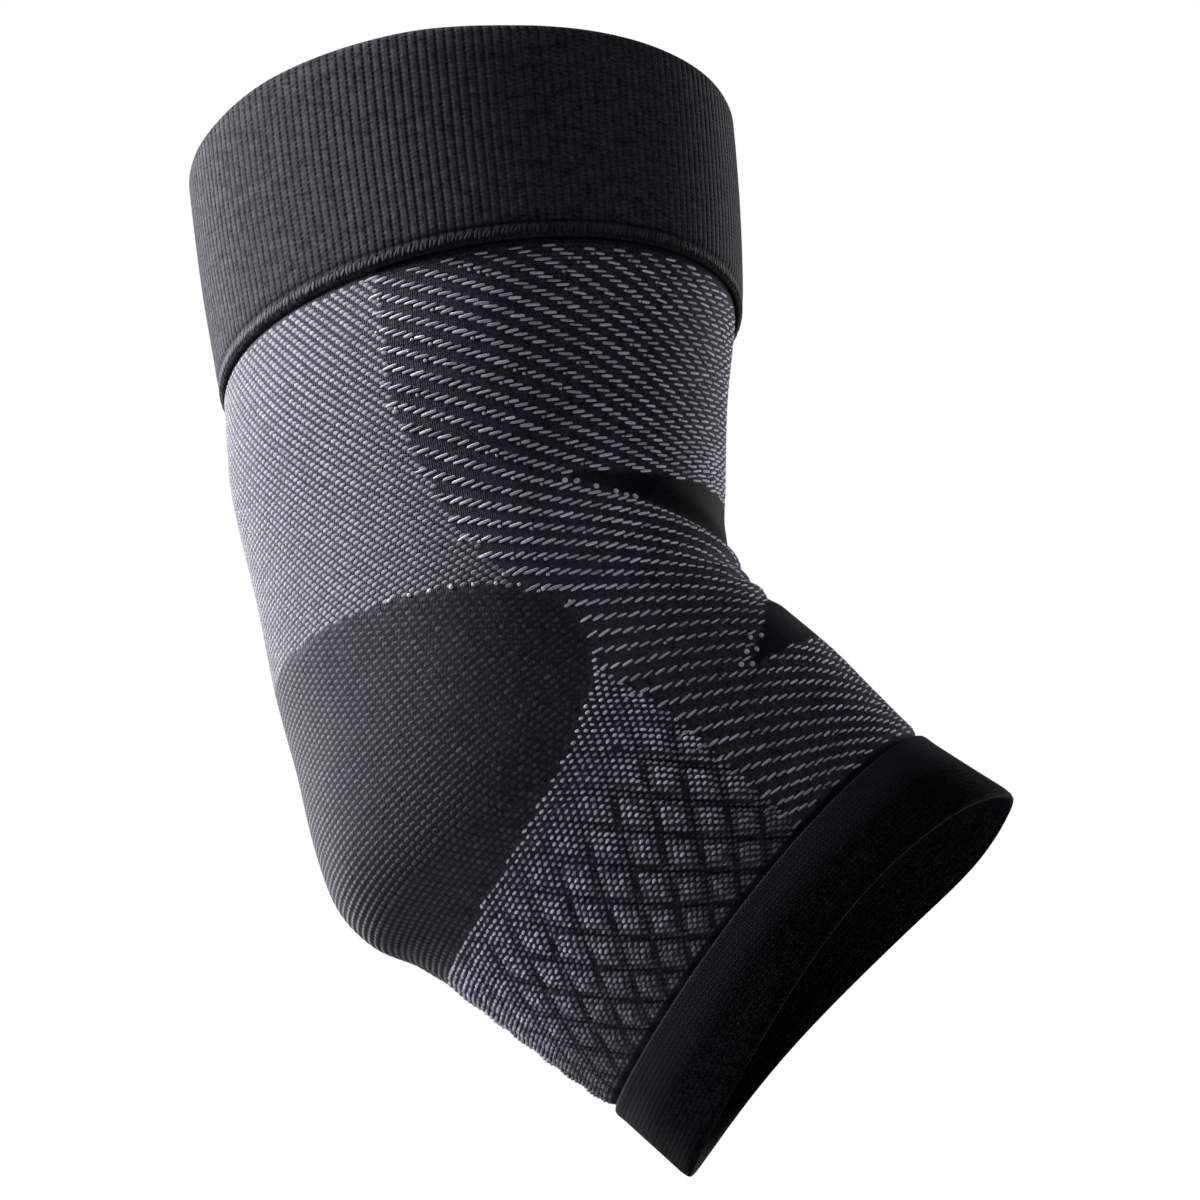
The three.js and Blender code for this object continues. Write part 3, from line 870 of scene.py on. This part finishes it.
rib_number = calc(ribbed, "FLOOR", rib_place)
brick = calc(ribbed, "MULTIPLY_ADD", rib_number, 0.5, ribbed_split.outputs["Y"])
bead_row = calc(ribbed, "MULTIPLY_ADD", beside, -0.7, brick)
bead_off = calc(ribbed, "SUBTRACT", calc(ribbed, "FRACT", bead_row), 0.5)
bead_end = calc(ribbed, "MULTIPLY_ADD", calc(ribbed, "MULTIPLY", bead_off, bead_off), 2.8, 0.3)
pit = calc(ribbed, "MULTIPLY", between, bead_end)
ribbed_fuzz = ribbed.nodes.new("ShaderNodeGroup")
ribbed_fuzz.node_tree = knit
ribbed.links.new(ribbed_in.outputs["Stitches"], ribbed_fuzz.inputs["Stitches"])
ribbed.links.new(calc(ribbed, "SUBTRACT", 1.0, pit), ribbed_out.inputs["Loops"])
ribbed.links.new(ribbed_fuzz.outputs["Fuzz"], ribbed_out.inputs["Fuzz"])
# The stitched line is darker, and the turned edge below it has painted shade, deepest at the front, where
# it faces away from the light.
seam_line = np.exp(-(((cuff_at - CUFF_SEAM) / CUFF_SEAM_WIDTH) ** 2))
turned_edge_shade = ease(41.4, 42.6, cuff_at)[:, None] * (0.75 - 0.6 * ease(108, 140, cuff_away))
add_value(upper_cuff, "seam_and_edge_shade", np.maximum(seam_line[:, None], turned_edge_shade))
cuff_mat, cuff_tree, _, cuff_shader = knit_material(
    "upper cuff knit", ribbed, CUFF_GAP_AND_EDGE_SHADE_COLOUR, CUFF_LOOP_COLOUR, bump=1.0
)
cuff_colour = cuff_shader.inputs["Base Color"].links[0].from_socket
# Painted shade: the turned edge is darkened here, and the stitched line too.
seam_and_edge_shade = read_value(cuff_tree, "seam_and_edge_shade")
cuff_colour = blend_colours(cuff_tree, seam_and_edge_shade, cuff_colour, CUFF_GAP_AND_EDGE_SHADE_COLOUR)
cuff_tree.links.new(cuff_colour, cuff_shader.inputs["Base Color"])
upper_cuff.data.materials.append(cuff_mat)

# Linking stitches: a close row of short dark stitches over the turned edge of the upper cuff,
# which joins it to the sleeve cloth below.
LINK_YARN_COLOUR = (0.066, 0.061, 0.075, 1.0)
LINK_AT = 42.6
LINK_OVER = 1.33  # about the height of the turned edge over the cloth
LINK_LENGTH = 1.7
LINK_WIDTH = 0.6
LINK_PROUD = 0.09
LINK_TILT = 74.0
turn = np.arange(2 * RIBS) * 180 / RIBS + chance.normal(0, 0.1, 2 * RIBS)
# Painted shade: the linking stitches are darker towards the front, where the turned edge faces away from
# the light.
shade = chance.normal(1, 0.35, len(turn)) * (0.35 + 0.65 * ease(100, 135, off_crook(turn)))
link_yarn = lay_stitches(
    "link_yarn",
    LINK_AT + chance.normal(0, 0.08, len(turn)),
    turn,
    LINK_LENGTH * chance.normal(1, 0.1, len(turn)),
    LINK_WIDTH * chance.normal(1, 0.12, len(turn)),
    LINK_PROUD,
    LINK_TILT + chance.normal(0, 14, len(turn)),
    np.clip(shade, 0.15, 1.6),
    roundness=2.6,
    over=LINK_OVER,
    part="upper_cuff",
)
link_yarn.data.materials.append(yarn_material("linking yarn", LINK_YARN_COLOUR, 0.1))

# Lower cuff: a narrow plain band of fine black knit in dull heathered yarn, turned double, with
# a soft roll at its upper edge, lapped over the lower end of the sleeve cloth.
HEM_GAP_COLOUR = (0.002, 0.0018, 0.0024, 1.0)
HEM_FLECK_COLOUR = (0.003, 0.0025, 0.004, 1.0)
HEM_LOOP_COLOUR = (0.049, 0.044, 0.057, 1.0)
HEM_HIGHLIGHT_COLOUR = (0.060, 0.056, 0.066, 1.0)
HEM_WALES = 260
HEM_RUN_OUT = 0.6  # how far its open end runs out towards the crook
HEM_DRAWN_IN = 0.95  # how far it is drawn in at the sides
# The band's profile: station and height over the sleeve's face.
HEM_PROFILE = [
    # at, off
    (174.6, -0.7),
    (174.4, -0.45),
    (174.4, -0.15),
    (174.6, 0.05),
    (175.1, 0.18),
    (175.8, 0.22),
    (176.6, 0.2),
    (177.6, 0.2),
    (180.0, 0.3),
    (184.0, 0.35),
    (188.0, 0.4),
    (191.0, 0.45),
    (192.3, 0.3),
    (192.9, 0.0),
    (193.0, -0.4),
    (192.8, -0.8),
    (192.0, -1.2),
    (190.0, -1.7),
    (184.0, -2.3),
    (178.3, -2.3),
    (178.3, -0.7),
]
hem_turn = np.linspace(0, 360, CLOTH_COLUMNS, endpoint=False)
hem_away = off_crook(hem_turn)
hem_drop = HEM_RUN_OUT * np.exp(-(((hem_away - 28) / 18) ** 2))
hem_drop = hem_drop - HEM_DRAWN_IN * np.exp(-(((hem_away - 92) / 34) ** 2))
hem_rings = [
    lift(at + hem_drop * ease(178, 192, at), hem_turn, np.full_like(hem_turn, off))
    for at, off in HEM_PROFILE
]
hem_at = np.array([row[0] for row in HEM_PROFILE])
lower_cuff = knit_tube("lower_cuff_band", hem_rings, hem_at, HEM_WALES)
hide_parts("lower_cuff")
# Painted highlight: the band is paler along its rolled upper edge, where it catches the light, and a
# little paler over its upper part.
hem_highlight_share = np.maximum(1 - ease(174.6, 175.8, hem_at), 0.6 * (1 - ease(177, 185, hem_at)))
add_value(lower_cuff, "hem_painted_highlight", np.repeat(hem_highlight_share, len(hem_turn)))
hem_mat, hem_tree, _, hem_shader = knit_material(
    "lower cuff knit", knit, HEM_GAP_COLOUR, HEM_LOOP_COLOUR, bump=1.4
)
hem_shader.inputs["Specular IOR Level"].default_value = 0.03
hem_colour = hem_shader.inputs["Base Color"].links[0].from_socket
# Dark flecks about a loop long.
hem_place = hem_tree.nodes.new("ShaderNodeTexCoord")
flecks = hem_tree.nodes.new("ShaderNodeTexNoise")
flecks.inputs["Scale"].default_value = 1300.0
flecks.inputs["Detail"].default_value = 2.0
hem_tree.links.new(hem_place.outputs["Object"], flecks.inputs["Vector"])
fleck_share = calc(hem_tree, "MULTIPLY_ADD", flecks.outputs[0], 7.0, -3.2)
fleck_share = calc(hem_tree, "MINIMUM", calc(hem_tree, "MAXIMUM", fleck_share, 0.0), 0.85)
hem_colour = blend_colours(hem_tree, fleck_share, hem_colour, HEM_FLECK_COLOUR)
# Painted highlight along the upper edge.
hem_colour = blend_colours(hem_tree, read_value(hem_tree, "hem_painted_highlight"), hem_colour, HEM_HIGHLIGHT_COLOUR)
hem_tree.links.new(hem_colour, hem_shader.inputs["Base Color"])
lower_cuff.data.materials.append(hem_mat)

# Studio: a plain floor well below that shows pale to the camera, a large soft lamp high on the
# elbow's side, a weak one above the crook, two behind for the rims, and a white surround.
FLOOR_REACH = 5.0
FLOOR_LEVEL = -1.6
floor_mesh = bpy.data.meshes.new("studio_floor")
floor_corners = [
    (x * FLOOR_REACH, y * FLOOR_REACH, FLOOR_LEVEL) for x, y in ((-1, -1), (1, -1), (1, 1), (-1, 1))
]
floor_mesh.from_pydata(floor_corners, [], [(0, 1, 2, 3)])
studio_floor = bpy.data.objects.new("studio_floor", floor_mesh)
bpy.context.scene.collection.objects.link(studio_floor)
floor_mat = bpy.data.materials.new("studio floor")
floor_mat.use_nodes = True
floor_shader = floor_mat.node_tree.nodes["Principled BSDF"]
floor_shader.inputs["Base Color"].default_value = (0.8, 0.8, 0.8, 1)
floor_shader.inputs["Roughness"].default_value = 0.9
floor_shader.inputs["Emission Color"].default_value = (0.7, 0.7, 0.7, 1)
floor_ray = floor_mat.node_tree.nodes.new("ShaderNodeLightPath")
floor_mat.node_tree.links.new(floor_ray.outputs["Is Camera Ray"], floor_shader.inputs["Emission Strength"])
floor_mesh.materials.append(floor_mat)

LIT_POINT = (0, 0, 0.02)  # about the sleeve's middle


def soft_lamp(name, place, size, power):
    """A square lamp turned to the middle of the sleeve."""
    lamp = bpy.data.lights.new(name, "AREA")
    lamp.size = size
    lamp.energy = power
    stand = bpy.data.objects.new(name, lamp)
    stand.location = place
    stand.rotation_mode = "QUATERNION"
    stand.rotation_quaternion = (Vector(LIT_POINT) - Vector(place)).to_track_quat("-Z", "Y")
    bpy.context.scene.collection.objects.link(stand)


soft_lamp("key lamp", (-1.14, 0.08, 0.97), 0.7, 61.0)
soft_lamp("elbow rim lamp", (-0.62, 0.95, 0.5), 0.5, 20.0)
soft_lamp("top lamp", (0.5, -0.3, 1.15), 0.6, 2.9)
soft_lamp("crook rim lamp", (0.9, 0.85, 0.3), 0.6, 10.5)

world = bpy.data.worlds.new("studio")
world.use_nodes = True
surround = world.node_tree
lit = surround.nodes["Background"]
lit.inputs["Color"].default_value = (0.66, 0.74, 1.0, 1)
lit.inputs["Strength"].default_value = 0.036
seen = surround.nodes.new("ShaderNodeBackground")
seen.inputs["Color"].default_value = (1, 1, 1, 1)
ray = surround.nodes.new("ShaderNodeLightPath")
either = surround.nodes.new("ShaderNodeMixShader")
surround.links.new(ray.outputs["Is Camera Ray"], either.inputs[0])
surround.links.new(lit.outputs[0], either.inputs[1])
surround.links.new(seen.outputs[0], either.inputs[2])
surround.links.new(either.outputs[0], surround.nodes["World Output"].inputs["Surface"])
bpy.context.scene.world = world
bpy.context.scene.view_settings.view_transform = "Standard"

# Camera: below the elbow and to its side, rolled a little, on the middle of the picture.
VIEW_TURN = math.radians(-11.0)
VIEW_RISE = math.radians(-22.5)
VIEW_ROLL = math.radians(-8.4)
VIEW_DISTANCE = 1.3
SENSOR = 36.0
PICTURE = 1200
PIXEL = 0.185 * MM  # at the elbow's middle
ELBOW_PIXEL = (546, 722)
back = Vector(
    (
        math.sin(VIEW_TURN) * math.cos(VIEW_RISE),
        -math.cos(VIEW_TURN) * math.cos(VIEW_RISE),
        math.sin(VIEW_RISE),
    )
)
level = Vector((0, 0, 1)).cross(back).normalized()
upright = back.cross(level)
right = level * math.cos(VIEW_ROLL) + upright * math.sin(VIEW_ROLL)
top = upright * math.cos(VIEW_ROLL) - level * math.sin(VIEW_ROLL)
eye = back * VIEW_DISTANCE
middle = right * (PICTURE / 2 - ELBOW_PIXEL[0]) * PIXEL + top * (ELBOW_PIXEL[1] - PICTURE / 2) * PIXEL
aim = (eye - middle).normalized()
across = top.cross(aim).normalized()
lens = bpy.data.cameras.new("camera")
lens.sensor_width = SENSOR
lens.lens = SENSOR * VIEW_DISTANCE / (PICTURE * PIXEL)
lens.clip_end = 50.0
camera = bpy.data.objects.new("camera", lens)
bpy.context.scene.collection.objects.link(camera)
turned = Matrix((across, aim.cross(across), aim)).transposed().to_4x4()
camera.matrix_world = Matrix.Translation(eye) @ turned
bpy.context.scene.camera = camera
